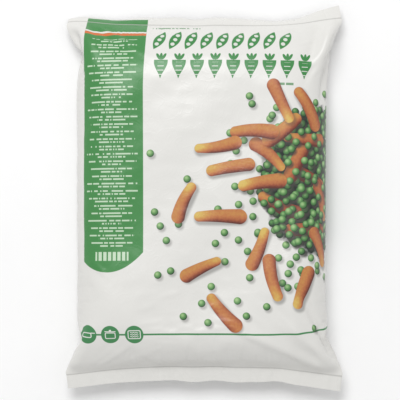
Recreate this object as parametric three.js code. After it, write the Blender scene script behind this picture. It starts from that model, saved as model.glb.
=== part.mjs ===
// A filled and sealed film bag of frozen vegetables, lying on its back with the printed face up.
// The bag is one tube of film, pressed flat and welded shut across both ends, with loose vegetables inside.
// Its form is found as a filler finds it: a flat sheet that can't stretch is pushed outwards by what it
// holds, until it meets the table below and the levelled contents above. Width runs along X, the height of
// the print along +Y and the thickness along +Z, with the origin under the middle of the bag.
import * as THREE from "three";

// Driving dimensions, in millimetres.
const LAY_FLAT_WIDTH = 290; // the empty tube pressed flat, which is also the width of both end seals
const FILM_LENGTH = 413; // from end to end along the film, both seals included
const SEAL_HEIGHT = 15; // the welded strip at each end
const FILL_DEPTH = 60; // thickness of the levelled contents
const FILM_WALL = 0.5; // half the thickness of a welded strip
const SEAL_LEVEL = 24; // height of the end seals above the table

// How the contents thin out towards the ends.
const END_DEPTH_SHARE = 0.66; // depth at a seal, as a share of the full depth
const END_SLOPE_LENGTH = 34; // film length over which the full depth is reached

// The levelled top rises and falls in two waves. Their turns are in radians for each millimetre.
const BROAD_WAVE = { height: 1.6, turnAcross: 0.031, startAcross: 1.1, turnAlong: 0.024, startAlong: -0.6 };
const SLANTED_WAVE = { height: 0.96, turn: 0.047 };

// Where the side edges are tucked in beside the corners, measured along the film from a seal.
const TUCK_CENTRE = 40;
const TUCK_REACH = 30;

// The ends stand a little to the right of the body.
const END_LEAN = 3;
const LEAN_FROM = 110;
const LEAN_TO = 185;

// How the welded strips are bent from the level, in radians.
const TOP_FOLD_MIDDLE = 1.25; // the top strip is turned down behind the face
const TOP_FOLD_LEFT = 1.2; // at its left corner
const TOP_FOLD_RIGHT = 0.4; // at its right corner, which stands open
const CORNER_POWER = 3; // how near to a corner the fold of that corner takes over
const BOTTOM_DROOP = 0.14;

// The grid of film cells.
const ACROSS = 42; // cells across one face
const SEAL_ROWS = 2;
const BODY_ROWS = 50;
const CREASED_ROWS = 5; // rows beside each seal where the side edges are creased

// Relaxing the film.
const START_GAP = 1; // between the faces of the empty tube, in millimetres
const STEPS = 560;
const SWEEPS = 8; // passes over the links in each step
const PUSH = 0.2; // outward push of the contents in each step, in millimetres
const TOP_LEFT_TUCK = 0.2; // inward push on a tucked edge in each step, in millimetres
const TOP_RIGHT_TUCK = 0.04;
const BOTTOM_LEFT_TUCK = 0.05;
const BOTTOM_RIGHT_TUCK = 0.01;
const SETTLE_FROM = 0.6; // share of the steps after which the push eases off
const SETTLED_PUSH_SHARE = 0.6;
const SINK = 0.012; // weight of the film in each step, in millimetres
const FOLD_PULL = 0.12; // what turns the welded strips down in each step, in millimetres
const DRAG = 0.965; // share of the motion that is kept from step to step
const SLACK_STIFFNESS = 0.35; // resistance to pressing the film together in its own plane
const SHEAR_STIFFNESS = 0.3;
const BEND_STIFFNESS = 0.12;
const FILL_VOLUME = 5.3e6; // cubic millimetres at which the push has faded out
const FADE_SHARE = 0.125; // share of that volume over which it fades
const TINY = 1e-9; // keeps the length of a link from being nought

// Giving the film its wall.
const CREASED_AREA = 1e-3; // square millimetres of film around a point that lies in a crease
const TABLE_TOUCH = 1e-3; // millimetres above the table that still count as lying on it

const AROUND = 2 * ACROSS;
const ROWS = BODY_ROWS + 2 * SEAL_ROWS;
const BODY_LENGTH = FILM_LENGTH - 2 * SEAL_HEIGHT;
const CELL_WIDTH = LAY_FLAT_WIDTH / ACROSS;
const TOP_SEAL_ROW = ROWS - SEAL_ROWS;
const BACK_MIDDLE = ACROSS + ACROSS / 2; // the column down the middle of the back

const at = (row, column) => row * AROUND + ((column + AROUND) % AROUND);

// Distance along the film from the bag's foot to a row of the grid.
function filmHeight(row) {
  const inBottom = Math.min(row, SEAL_ROWS) / SEAL_ROWS;
  const inBody = THREE.MathUtils.clamp(row - SEAL_ROWS, 0, BODY_ROWS) / BODY_ROWS;
  const inTop = Math.max(row - TOP_SEAL_ROW, 0) / SEAL_ROWS;
  return SEAL_HEIGHT * (inBottom + inTop) + BODY_LENGTH * inBody;
}

// Distance across the film from the bag's middle to a column of the grid, on either face.
function filmAcross(column) {
  const steps = column <= ACROSS ? column : AROUND - column;
  return steps * CELL_WIDTH - LAY_FLAT_WIDTH / 2;
}

// The empty tube, pressed flat at the height of its seals.
function flatTube() {
  const points = [];
  for (let row = 0; row <= ROWS; row++) {
    for (let column = 0; column < AROUND; column++) {
      const onEdge = column % ACROSS === 0;
      const face = column < ACROSS ? 1 : -1;
      const lift = onEdge ? 0 : (face * START_GAP) / 2;
      points.push(filmAcross(column), filmHeight(row) - FILM_LENGTH / 2, SEAL_LEVEL + lift);
    }
  }
  return Float64Array.from(points);
}

// Whether a grid point is on a side edge so near a seal that the film is creased flat there.
function foldsFlat(row, column) {
  return column % ACROSS === 0 && Math.min(row, ROWS - row) < SEAL_ROWS + CREASED_ROWS;
}

// One batch of links between grid points a fixed step apart. Links of one batch share no point.
function linkBatch(rowStep, columnStep, phase, stiffness, slackStiffness) {
  const links = [];
  const along = rowStep > 0;
  const stride = Math.max(rowStep, Math.abs(columnStep));
  for (let row = 0; row + rowStep <= ROWS; row++) {
    for (let column = 0; column < AROUND; column++) {
      const turn = along ? row : column;
      if (Math.floor(turn / stride) % 2 !== phase) continue;
      if (columnStep === 2 && foldsFlat(row, column + 1)) continue;
      const rise = filmHeight(row + rowStep) - filmHeight(row);
      const run = columnStep * CELL_WIDTH;
      links.push([at(row, column), at(row + rowStep, column + columnStep), Math.hypot(rise, run)]);
    }
  }
  return { links, stiffness, slackStiffness };
}

function filmLinks() {
  const batches = [];
  for (const phase of [0, 1]) {
    batches.push(linkBatch(0, 1, phase, 1, SLACK_STIFFNESS));
    batches.push(linkBatch(1, 0, phase, 1, SLACK_STIFFNESS));
    batches.push(linkBatch(1, 1, phase, SHEAR_STIFFNESS, SHEAR_STIFFNESS));
    batches.push(linkBatch(1, -1, phase, SHEAR_STIFFNESS, SHEAR_STIFFNESS));
    batches.push(linkBatch(0, 2, phase, 0, BEND_STIFFNESS));
    batches.push(linkBatch(2, 0, phase, 0, BEND_STIFFNESS));
  }
  return batches;
}

// Moves both ends of each link towards its flat length.
function pullLinks(points, { links, stiffness, slackStiffness }) {
  for (const [a, b, rest] of links) {
    const dx = points[3 * b] - points[3 * a];
    const dy = points[3 * b + 1] - points[3 * a + 1];
    const dz = points[3 * b + 2] - points[3 * a + 2];
    const length = Math.hypot(dx, dy, dz) + TINY;
    const pull = length > rest ? stiffness : slackStiffness;
    const share = (pull * (length - rest)) / (2 * length);
    points[3 * a] += share * dx;
    points[3 * a + 1] += share * dy;
    points[3 * a + 2] += share * dz;
    points[3 * b] -= share * dx;
    points[3 * b + 1] -= share * dy;
    points[3 * b + 2] -= share * dz;
  }
}

// The outward normal at a grid point, as long as the film area around it, in square millimetres. The
// differences span two cells each way, which is four times that area.
function areaNormal(points, row, column) {
  const point = (r, c) => new THREE.Vector3().fromArray(points, 3 * at(r, c));
  const acrossFilm = point(row, column + 1).sub(point(row, column - 1));
  const alongFilm = point(Math.min(row + 1, ROWS), column).sub(point(Math.max(row - 1, 0), column));
  return acrossFilm.cross(alongFilm).divideScalar(4);
}

// Height of the levelled contents above the table.
function contentsLevel(x, y) {
  const inward = BODY_LENGTH / 2 - Math.abs(y);
  const share = THREE.MathUtils.smoothstep(inward, 0, END_SLOPE_LENGTH);
  const depth = FILL_DEPTH * THREE.MathUtils.lerp(END_DEPTH_SHARE, 1, share);
  const { height, turnAcross, startAcross, turnAlong, startAlong } = BROAD_WAVE;
  const broad = height * Math.sin(turnAcross * x + startAcross) * Math.cos(turnAlong * y + startAlong);
  const slanted = SLANTED_WAVE.height * Math.sin(SLANTED_WAVE.turn * (x - y));
  return depth + broad + slanted - height;
}

// Keeps the film off the table and under the level of the contents, its faces from crossing, and the middle
// line of its back straight, where the bag lies still.
function holdFilm(points) {
  for (let row = 0; row <= ROWS; row++) {
    points[3 * at(row, BACK_MIDDLE)] = 0;
    for (let column = 0; column < AROUND; column++) {
      const k = 3 * at(row, column);
      points[k + 2] = THREE.MathUtils.clamp(points[k + 2], 0, contentsLevel(points[k], points[k + 1]));
    }
    for (let column = 1; column < ACROSS; column++) {
      const front = 3 * at(row, column);
      const back = 3 * at(row, AROUND - column);
      const overlap = points[back + 2] - points[front + 2];
      if (overlap > 0) {
        points[front + 2] += overlap / 2;
        points[back + 2] -= overlap / 2;
      }
    }
  }
}

function weldedRows() {
  return [...Array(ROWS + 1).keys()].filter((row) => row <= SEAL_ROWS || row >= TOP_SEAL_ROW);
}

// How far a welded strip may turn down, by its place across the bag.
function foldAngle(row, column) {
  const off = filmAcross(column) / (LAY_FLAT_WIDTH / 2);
  const corner = off < 0 ? TOP_FOLD_LEFT : TOP_FOLD_RIGHT;
  const topFold = THREE.MathUtils.lerp(TOP_FOLD_MIDDLE, corner, Math.abs(off) ** CORNER_POWER);
  return row > ROWS / 2 ? topFold : BOTTOM_DROOP;
}

// Presses the two faces together in the welded strips.
function pressSeals(points) {
  for (const row of weldedRows()) {
    for (let column = 1; column < ACROSS; column++) {
      const front = 3 * at(row, column);
      const back = 3 * at(row, AROUND - column);
      for (const axis of [0, 1, 2]) {
        const middle = (points[front + axis] + points[back + axis]) / 2;
        points[front + axis] = middle;
        points[back + axis] = middle;
      }
    }
  }
}

// Stops each welded strip at its fold.
function stopFolds(points) {
  for (const row of weldedRows()) {
    const weld = row <= SEAL_ROWS ? SEAL_ROWS : TOP_SEAL_ROW;
    const reach = Math.abs(filmHeight(row) - filmHeight(weld));
    for (let column = 0; column < AROUND; column++) {
      const lowest = points[3 * at(weld, column) + 2] - reach * Math.sin(foldAngle(row, column));
      const k = 3 * at(row, column) + 2;
      points[k] = Math.max(points[k], lowest);
    }
  }
}

function enclosedVolume(points) {
  let volume = 0;
  for (let row = 0; row <= ROWS; row++) {
    for (let column = 0; column < AROUND; column++) {
      volume += areaNormal(points, row, column).z * points[3 * at(row, column) + 2];
    }
  }
  return volume;
}

// The inward push on a grid point near a side edge, which is strongest a little way in from each seal.
function tuckPush(row, column) {
  const fromSeal = Math.min(filmHeight(row), FILM_LENGTH - filmHeight(row)) - SEAL_HEIGHT;
  const fromEdge = Math.min(column % ACROSS, ACROSS - (column % ACROSS)) * CELL_WIDTH;
  const along = Math.max(0, 1 - Math.abs(fromSeal - TUCK_CENTRE) / TUCK_REACH);
  const across = Math.max(0, 1 - fromEdge / TUCK_REACH);
  const [top, bottom] =
    filmAcross(column) < 0 ? [TOP_LEFT_TUCK, BOTTOM_LEFT_TUCK] : [TOP_RIGHT_TUCK, BOTTOM_RIGHT_TUCK];
  return (row > ROWS / 2 ? top : bottom) * along * across;
}

// Moves every point by its last motion, the push of the contents and the weight of the film. The normals
// are those of the film before any of it has moved.
function moveFilm(points, before, push) {
  const still = points.slice();
  for (let row = 0; row <= ROWS; row++) {
    const inBody = row > SEAL_ROWS && row < TOP_SEAL_ROW;
    for (let column = 0; column < AROUND; column++) {
      const k = 3 * at(row, column);
      const normal = areaNormal(still, row, column).divideScalar(CELL_WIDTH ** 2);
      const outward = inBody ? push : 0;
      const down = inBody || row === SEAL_ROWS || row === TOP_SEAL_ROW ? SINK : FOLD_PULL;
      const tuck = tuckPush(row, column) * Math.sign(points[k]);
      const step = [outward * normal.x - tuck, outward * normal.y, outward * normal.z - down];
      for (const axis of [0, 1, 2]) {
        const now = points[k + axis];
        points[k + axis] += DRAG * (now - before[k + axis]) + step[axis];
        before[k + axis] = now;
      }
    }
  }
}

function relaxedFilm() {
  const points = flatTube();
  const before = points.slice();
  const batches = filmLinks();
  for (let step = 0; step < STEPS; step++) {
    const room = 1 - enclosedVolume(points) / FILL_VOLUME;
    const fade = THREE.MathUtils.clamp(room / FADE_SHARE, 0, 1);
    const settling = THREE.MathUtils.smoothstep(step / STEPS, SETTLE_FROM, 1);
    const push = PUSH * THREE.MathUtils.lerp(1, SETTLED_PUSH_SHARE, settling);
    moveFilm(points, before, push * fade);
    for (let sweep = 0; sweep < SWEEPS; sweep++) {
      for (const batch of batches) pullLinks(points, batch);
      holdFilm(points);
      pressSeals(points);
      stopFolds(points);
    }
  }
  return points;
}

// How far the ends stand to the right of the body, at a distance from the middle of the bag.
function endLean(y) {
  return END_LEAN * THREE.MathUtils.smoothstep(Math.abs(y), LEAN_FROM, LEAN_TO);
}

// Gives the film its wall, so that the welded strips have a thickness, and sets the bag on the table.
function outerSkin(points) {
  const skin = [];
  for (let row = 0; row <= ROWS; row++) {
    for (let column = 0; column < AROUND; column++) {
      const normal = areaNormal(points, row, column);
      const wall = normal.length() > CREASED_AREA ? FILM_WALL : 0;
      const point = new THREE.Vector3().fromArray(points, 3 * at(row, column));
      point.x += endLean(point.y);
      skin.push(point.addScaledVector(normal.normalize(), wall));
    }
  }
  const box = new THREE.Box3().setFromPoints(skin);
  const foot = new THREE.Vector3((box.min.x + box.max.x) / 2, (box.min.y + box.max.y) / 2, box.min.z);
  for (const point of skin) {
    point.sub(foot);
    if (point.z < TABLE_TOUCH) point.z = 0;
  }
  return skin;
}

// Closes the skin with triangles: the tube itself, and a strip across each end.
function bagGeometry() {
  const skin = outerSkin(relaxedFilm());
  const faces = [];
  for (let row = 0; row < ROWS; row++) {
    for (let column = 0; column < AROUND; column++) {
      const a = at(row, column);
      const b = at(row, column + 1);
      const c = at(row + 1, column + 1);
      const d = at(row + 1, column);
      faces.push(a, b, c, a, c, d);
    }
  }
  for (const [row, turned] of [[0, false], [ROWS, true]]) {
    for (let column = 0; column < ACROSS; column++) {
      const a = at(row, column);
      const b = at(row, column + 1);
      const c = at(row, AROUND - column - 1);
      const d = at(row, AROUND - column);
      const corners = [];
      if (column > 0) corners.push([a, d, b]);
      else corners.push([a, c, b]);
      if (column > 0 && column < ACROSS - 1) corners.push([d, c, b]);
      for (const [p, q, r] of corners) faces.push(...(turned ? [p, r, q] : [p, q, r]));
    }
  }
  const geometry = new THREE.BufferGeometry();
  geometry.setAttribute("position", new THREE.Float32BufferAttribute(skin.flatMap((p) => p.toArray()), 3));
  geometry.setIndex(faces);
  geometry.computeVertexNormals();
  return geometry;
}

function filmMaterial() {
  return new THREE.MeshStandardMaterial({ color: 0xe9e8e4, roughness: 0.38, metalness: 0 });
}

const bag = new THREE.Mesh(bagGeometry(), filmMaterial());
bag.name = "bag";

const part = new THREE.Group();
part.name = "frozen_vegetable_bag";
part.add(bag);

export default part;
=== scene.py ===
"""A filled bag of frozen vegetables: the film and its print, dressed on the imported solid.

The film is relaxed as the solid's own film was, from the same named sizes, and then once more on a finer
grid, where its creases and puckers come up. The print is worked out in film coordinates, in millimetres:
across the film from the middle of the printed face, and along it from the foot of the bag.
"""
import math

import bpy
import numpy as np
from bpy.props import FloatProperty, FloatVectorProperty, PointerProperty
from bpy.types import Operator, Panel, PropertyGroup
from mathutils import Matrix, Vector


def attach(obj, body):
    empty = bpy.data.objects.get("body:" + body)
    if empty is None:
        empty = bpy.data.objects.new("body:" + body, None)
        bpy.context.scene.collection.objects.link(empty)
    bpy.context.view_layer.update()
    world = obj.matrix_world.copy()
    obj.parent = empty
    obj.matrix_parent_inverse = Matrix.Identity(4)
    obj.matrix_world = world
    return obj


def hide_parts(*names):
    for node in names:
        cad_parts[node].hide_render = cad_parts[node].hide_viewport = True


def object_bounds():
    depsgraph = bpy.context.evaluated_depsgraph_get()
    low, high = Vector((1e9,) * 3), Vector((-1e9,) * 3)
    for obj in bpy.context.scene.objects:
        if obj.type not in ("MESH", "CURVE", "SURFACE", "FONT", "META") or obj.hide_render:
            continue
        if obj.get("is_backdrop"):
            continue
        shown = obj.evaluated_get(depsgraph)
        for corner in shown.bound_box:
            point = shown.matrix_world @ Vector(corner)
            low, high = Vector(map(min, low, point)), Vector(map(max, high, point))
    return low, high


bl_info = {
    "name": "Frozen vegetable bag",
    "version": (1, 0, 0),
    "blender": (4, 5, 0),
    "location": "View3D > Sidebar > Bag",
    "description": "Makes a filled film bag with a vegetable print",
    "category": "Object",
}

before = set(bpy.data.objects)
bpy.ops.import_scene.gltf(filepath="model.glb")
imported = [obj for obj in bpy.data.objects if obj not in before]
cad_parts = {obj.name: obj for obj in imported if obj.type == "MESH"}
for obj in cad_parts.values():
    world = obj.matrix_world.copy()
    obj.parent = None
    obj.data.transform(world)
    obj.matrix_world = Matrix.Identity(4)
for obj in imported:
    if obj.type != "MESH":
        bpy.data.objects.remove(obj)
CAD_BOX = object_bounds()

MM = 0.001  # metres in a millimetre

# How the contents thin out towards the ends, in millimetres.
END_DEPTH_SHARE = 0.66
END_SLOPE_LENGTH = 34
BROAD_WAVE = {
    "height": 1.6,
    "turn_across": 0.031,
    "start_across": 1.1,
    "turn_along": 0.024,
    "start_along": -0.6,
}
SLANTED_WAVE = {"height": 0.96, "turn": 0.047}

# Where the side edges are tucked in beside the corners, measured along the film from a seal.
TUCK_CENTRE = 40
TUCK_REACH = 30

# The ends stand a little to the right of the body.
END_LEAN = 3
LEAN_FROM = 110
LEAN_TO = 185

# How the welded strips are bent from the level, in radians.
TOP_FOLD_MIDDLE = 1.25
TOP_FOLD_LEFT = 1.2
TOP_FOLD_RIGHT = 0.4
CORNER_POWER = 3
BOTTOM_DROOP = 0.14

# The coarse grid of film cells.
ACROSS = 42
SEAL_ROWS = 2
BODY_ROWS = 50
CREASED_ROWS = 5

# Relaxing the film.
START_GAP = 1
STEPS = 560
SWEEPS = 8
PUSH = 0.2
TOP_LEFT_TUCK = 0.2
TOP_RIGHT_TUCK = 0.04
BOTTOM_LEFT_TUCK = 0.05
BOTTOM_RIGHT_TUCK = 0.01
SETTLE_FROM = 0.6
SETTLED_PUSH_SHARE = 0.6
SINK = 0.012
FOLD_PULL = 0.12
DRAG = 0.965
SLACK_STIFFNESS = 0.35
SHEAR_STIFFNESS = 0.3
BEND_STIFFNESS = 0.12
FILL_VOLUME = 5.3e6
FADE_SHARE = 0.125
TINY = 1e-9
CREASED_AREA = 1e-3

# Creasing the film on the fine grid, where it is a little longer than the room it has.
FINE_CELLS = 4  # along each side of a coarse cell
FINE_STEPS = 26
FINE_SLACK_STIFFNESS = 0.8
FINE_BEND_STIFFNESS = 0.06
FINE_DRAG = 0.6
FINE_REACH = 4  # how far a point may go from where the coarse film has it, in millimetres
SPARE_FILM = 0.0085  # as a share of its length
SPARE_BY_WELD = 0.016  # what is added beside the welds
SPARE_REACH = 40


def smooth_step(value, low, high):
    share = np.clip((value - low) / (high - low), 0, 1)
    return share * share * (3 - 2 * share)


class Film:
    """A tube of film as a grid of cells, with the links that keep its lengths."""

    def __init__(self, form, cells, slack, bend, spare=0, by_weld=0):
        self.width = round(form.lay_flat_width / MM, 2)
        self.length = round(form.film_length / MM, 2)
        self.seal = round(form.seal_height / MM, 2)
        self.depth = round(form.fill_depth / MM, 2)
        self.seal_level = round(form.seal_level / MM, 2)
        self.cells = cells
        self.across = ACROSS * cells
        self.around = 2 * self.across
        self.seal_rows = SEAL_ROWS * cells
        self.body_rows = BODY_ROWS * cells
        self.rows = self.body_rows + 2 * self.seal_rows
        self.top_seal_row = self.rows - self.seal_rows
        self.creased_rows = (SEAL_ROWS + CREASED_ROWS) * cells
        self.back_middle = self.across + self.across // 2
        self.cell_width = self.width / self.across
        row = np.arange(self.rows + 1)
        in_seals = np.minimum(row, self.seal_rows) + np.maximum(row - self.top_seal_row, 0)
        in_body = np.clip(row - self.seal_rows, 0, self.body_rows) / self.body_rows
        self.height = self.seal * in_seals / self.seal_rows + (self.length - 2 * self.seal) * in_body
        column = np.arange(self.around)
        from_left = np.where(column <= self.across, column, self.around - column)
        self.offset = from_left * self.cell_width - self.width / 2
        self.from_weld = np.minimum(self.height, self.length - self.height) - self.seal
        beside = np.where(self.from_weld > TINY, np.exp(-((self.from_weld / SPARE_REACH) ** 2)), 0)
        self.ease = 1 + spare + by_weld * beside
        self.links = [
            link
            for phase in (0, 1)
            for link in (
                self.link_batch(0, 1, phase, 1, slack),
                self.link_batch(1, 0, phase, 1, slack),
                self.link_batch(1, 1, phase, SHEAR_STIFFNESS, SHEAR_STIFFNESS),
                self.link_batch(1, -1, phase, SHEAR_STIFFNESS, SHEAR_STIFFNESS),
                self.link_batch(0, 2, phase, 0, bend),
                self.link_batch(2, 0, phase, 0, bend),
            )
        ]
        self.tuck = self.tuck_push()
        self.drop = self.fold_drop()

    def link_batch(self, row_step, column_step, phase, stiffness, slack_stiffness):
        """Links between grid points a fixed step apart. Links of one batch share no point."""
        first_rows = np.arange(self.rows + 1 - row_step)
        row, column = np.meshgrid(first_rows, np.arange(self.around), indexing="ij")
        turn = row if row_step else column
        kept = turn // max(row_step, abs(column_step)) % 2 == phase
        if column_step == 2:
            on_edge = (column + 1) % self.across == 0
            kept &= ~(on_edge & (np.minimum(row, self.rows - row) < self.creased_rows))
        row, column = row[kept], column[kept]
        rise = self.height[row + row_step] - self.height[row]
        rest = np.hypot(rise, column_step * self.cell_width) * self.ease[row]
        start = row * self.around + column
        end = (row + row_step) * self.around + (column + column_step) % self.around
        return start, end, rest, stiffness, slack_stiffness

    def pull(self, points, link):
        """Moves both ends of each link towards its flat length."""
        start, end, rest, stiffness, slack_stiffness = link
        flat = points.reshape(-1, 3)
        gap = flat[end] - flat[start]
        length = np.sqrt(np.einsum("ij,ij->i", gap, gap)) + TINY
        stretch = length - rest
        gap *= (np.where(stretch > 0, stiffness, slack_stiffness) * stretch / (2 * length))[:, None]
        flat[start] += gap
        flat[end] -= gap

    def flat_tube(self):
        """The empty tube, pressed flat at the height of its seals."""
        points = np.zeros((self.rows + 1, self.around, 3))
        column = np.arange(self.around)
        face = np.where(column < self.across, START_GAP, -START_GAP) / 2
        lift = np.where(column % self.across == 0, 0, face)
        points[..., 0] = self.offset
        points[..., 1] = (self.height - self.length / 2)[:, None]
        points[..., 2] = self.seal_level + lift
        return points

    def contents_level(self, x, y):
        """Height of the levelled contents above the table."""
        inward = (self.length - 2 * self.seal) / 2 - np.abs(y)
        share = smooth_step(inward, 0, END_SLOPE_LENGTH)
        level = self.depth * (END_DEPTH_SHARE + (1 - END_DEPTH_SHARE) * share)
        wave = BROAD_WAVE
        broad = wave["height"] * np.sin(wave["turn_across"] * x + wave["start_across"])
        broad *= np.cos(wave["turn_along"] * y + wave["start_along"])
        slanted = SLANTED_WAVE["height"] * np.sin(SLANTED_WAVE["turn"] * (x - y))
        return level + broad + slanted - wave["height"]

    def faces(self, points):
        """The two faces without their side edges, with the back's columns in the front's order."""
        return points[:, 1 : self.across], points[:, : self.across : -1]

    def hold(self, points):
        """Keeps the film off the table and under the contents' level, and its faces from crossing."""
        points[:, self.back_middle, 0] = 0
        level = self.contents_level(points[..., 0], points[..., 1])
        points[..., 2] = np.clip(points[..., 2], 0, level)
        front, back = self.faces(points)
        overlap = np.maximum(back[..., 2] - front[..., 2], 0) / 2
        front[..., 2] += overlap
        back[..., 2] -= overlap

    def fold_drop(self):
        """How far below the weld each point of a welded strip may lie."""
        off = self.offset / (self.width / 2)
        corner = np.where(off < 0, TOP_FOLD_LEFT, TOP_FOLD_RIGHT)
        top = TOP_FOLD_MIDDLE + (corner - TOP_FOLD_MIDDLE) * np.abs(off) ** CORNER_POWER
        drop = np.zeros((self.rows + 1, self.around))
        for row in range(self.rows + 1):
            weld = self.seal_rows if row <= self.seal_rows else self.top_seal_row
            angle = top if row > self.rows / 2 else BOTTOM_DROOP
            drop[row] = abs(self.height[row] - self.height[weld]) * np.sin(angle)
        return drop

    def hold_seals(self, points):
        """Presses the faces together in the welded strips and stops each strip at its fold."""
        front, back = self.faces(points)
        for rows, weld in (
            (slice(0, self.seal_rows + 1), self.seal_rows),
            (slice(self.top_seal_row, self.rows + 1), self.top_seal_row),
        ):
            middle = (front[rows] + back[rows]) / 2
            front[rows] = middle
            back[rows] = middle
            lowest = points[weld, :, 2] - self.drop[rows]
            points[rows, :, 2] = np.maximum(points[rows, :, 2], lowest)

    def area_normals(self, points):
        """Outward normals, each as long as the film area around its point."""
        across_film = np.roll(points, -1, axis=1) - np.roll(points, 1, axis=1)
        along_film = np.concatenate((points[1:], points[-1:])) - np.concatenate((points[:1], points[:-1]))
        return np.cross(across_film, along_film) / 4

    def tuck_push(self):
        """The inward push near a side edge, which is strongest a little way in from each seal."""
        column = np.arange(self.around) % self.across
        from_edge = np.minimum(column, self.across - column) * self.cell_width
        along = np.maximum(0, 1 - np.abs(self.from_weld - TUCK_CENTRE) / TUCK_REACH)
        sideways = np.maximum(0, 1 - from_edge / TUCK_REACH)
        bottom = np.where(self.offset < 0, BOTTOM_LEFT_TUCK, BOTTOM_RIGHT_TUCK)
        top = np.where(self.offset < 0, TOP_LEFT_TUCK, TOP_RIGHT_TUCK)
        in_top = (np.arange(self.rows + 1) > self.rows / 2)[:, None]
        return np.where(in_top, top, bottom) * along[:, None] * sideways

    def straighten(self, points):
        """Brings the film nearer to its lengths, between the table and the contents' level."""
        for _ in range(SWEEPS):
            for link in self.links:
                self.pull(points, link)
            self.hold(points)
            self.hold_seals(points)

    def fill(self, points):
        """Pushes the film out and lets it settle."""
        before = points.copy()
        body = np.zeros((self.rows + 1, 1))
        body[self.seal_rows + 1 : self.top_seal_row] = 1
        down = np.where(body > 0, SINK, FOLD_PULL)
        down[[self.seal_rows, self.top_seal_row]] = SINK
        cell_area = self.cell_width**2
        for step in range(STEPS):
            normal = self.area_normals(points)
            room = 1 - (normal[..., 2] * points[..., 2]).sum() / FILL_VOLUME
            settling = smooth_step(step / STEPS, SETTLE_FROM, 1)
            push = PUSH * (1 + (SETTLED_PUSH_SHARE - 1) * settling) * np.clip(room / FADE_SHARE, 0, 1)
            motion = DRAG * (points - before) + normal * (push / cell_area) * body[..., None]
            motion[..., 0] -= self.tuck * np.sign(points[..., 0])
            motion[..., 2] -= down
            before = points.copy()
            points += motion
            self.straighten(points)
        return points

    def crease(self, points, steps):
        """Lets the spare film crease, near to where it lies."""
        start = points.copy()
        before = points.copy()
        for _ in range(steps):
            motion = FINE_DRAG * (points - before)
            before = points.copy()
            points += motion
            self.straighten(points)
            moved = points - start
            far = np.linalg.norm(moved, axis=2, keepdims=True)
            points = start + moved * np.minimum(1, FINE_REACH / np.maximum(far, TINY))
        return points


def finer_rows(points, cells):
    """Puts so many cells between the rows of a grid, on a smooth curve through them."""
    first = 2 * points[:1] - points[1:2]
    last = 2 * points[-1:] - points[-2:-1]
    p = np.concatenate((first, points, last))
    before, start, end, after = p[:-3], p[1:-2], p[2:-1], p[3:]
    parts = []
    for cell in range(cells):
        t = cell / cells
        curve = 2 * start + t * (end - before)
        curve += t**2 * (2 * before - 5 * start + 4 * end - after)
        curve += t**3 * (3 * start - before - 3 * end + after)
        parts.append(curve / 2)
    fine = np.stack(parts, axis=1).reshape(-1, *points.shape[1:])
    return np.concatenate((fine, points[-1:]))


def finer_columns(points, cells):
    """The same between the columns, which run round the tube."""
    wrapped = np.concatenate((points[:, -1:], points, points[:, :2]), axis=1)
    turned = finer_rows(wrapped.swapaxes(0, 1), cells).swapaxes(0, 1)
    return turned[:, cells : cells + points.shape[1] * cells]


# The film's own relief, in millimetres.
WALL = 0.5  # as the solid has it
TABLE_TOUCH = 1e-3
RELIEF_SEED = 7
LOOSE_FILM = (4, 40)  # from a weld: where lumps and swells begin and where they are full
LUMP_SPACING = 11  # peas and carrots pressing on the film
LUMP_RELIEF = 0.12
SWELL_SPACING = 46
SWELL_ALONG_SHARE = 0.6  # of that spacing
SWELL_RELIEF = 0.3
BACK_SHARE = 0.4  # of the lumps and swells
PUCKER_SPACING = (5, 14)  # across the welded strips and along the film
BROAD_PUCKER_SPACING = (20, 30)
PUCKER_RELIEF = 0.9
FINE_PUCKER_SHARE = 0.5
PUCKERS_PAST_WELD = 14
PUCKERS_FULL_FROM = 3  # into the strip
END_WAVE = 2.0  # how far the ends' edges wander
END_WAVE_SPACING = (22, 500)
END_WAVE_REACH = 1.6  # in heights of a strip
EVEN_PASSES = 60
EVEN_REACH = 16  # from a weld
BACK_SEAM_HALF = 6
BACK_SEAM_SOFT = 1
BACK_SEAM_STEP = 0.3
BACK_SEAM_FADE = (30, 4)  # beside the seam: where its step has faded out and where that begins
FOLD_RELIEF = 0.45  # the share of each fold that is added once more at the end

# What the film's creases start from, in millimetres of film.
UNEVEN_SPACING = 14
UNEVEN_HEIGHT = 0.5
CREASE_HALF = 3.2
CREASE_HEIGHT = 1.1
CREASE_ANGLES = (18, 72)  # degrees from the seal
CREASE_NEAR, CREASE_FAR = (20, 50), (80, 150)  # from a corner to both ends of a crease
CORNER_CREASES = ((1, 0, 9), (-1, 0, 5), (1, 1, 5), (-1, 1, 4))  # side, end and how many
CREASE_FADE = 12  # from a weld, where the creases are full
FOLDS = (  # from where, to where, height and half-width
    ((141, 412), (118, 322), 4.0, 6.0),
    ((131, 388), (114, 330), 5.6, 4.6),
    ((120, 396), (106, 336), -4.0, 4.6),
    ((138, 372), (127, 292), -3.0, 5.0),
    ((-144, 409), (-108, 350), 4.0, 5.0),
    ((-139, 392), (-126, 322), -3.6, 4.5),
    ((143, 18), (52, 112), 3.2, 4.2),
    ((143, 24), (88, 138), -3.0, 4.2),
    ((142, 16), (8, 84), 2.8, 4.2),
    ((120, 30), (98, 78), -2.4, 4.2),
    ((-143, 18), (-104, 84), 3.0, 4.2),
    ((-120, 146), (-84, 112), 0.9, 2.4),
)

SHARP_TURN = math.radians(50)
FILM_MAP = "film"
BAKE_MAP = "OFBake"
BAKE_SPAN = 0.6  # metres of film in the width of the baked map
BAKE_MARGIN = (0.01, 0.005)  # metres that stay free at its left and its foot
END_STRIP = 2  # millimetres of that map which the narrow face at each end takes


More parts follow.
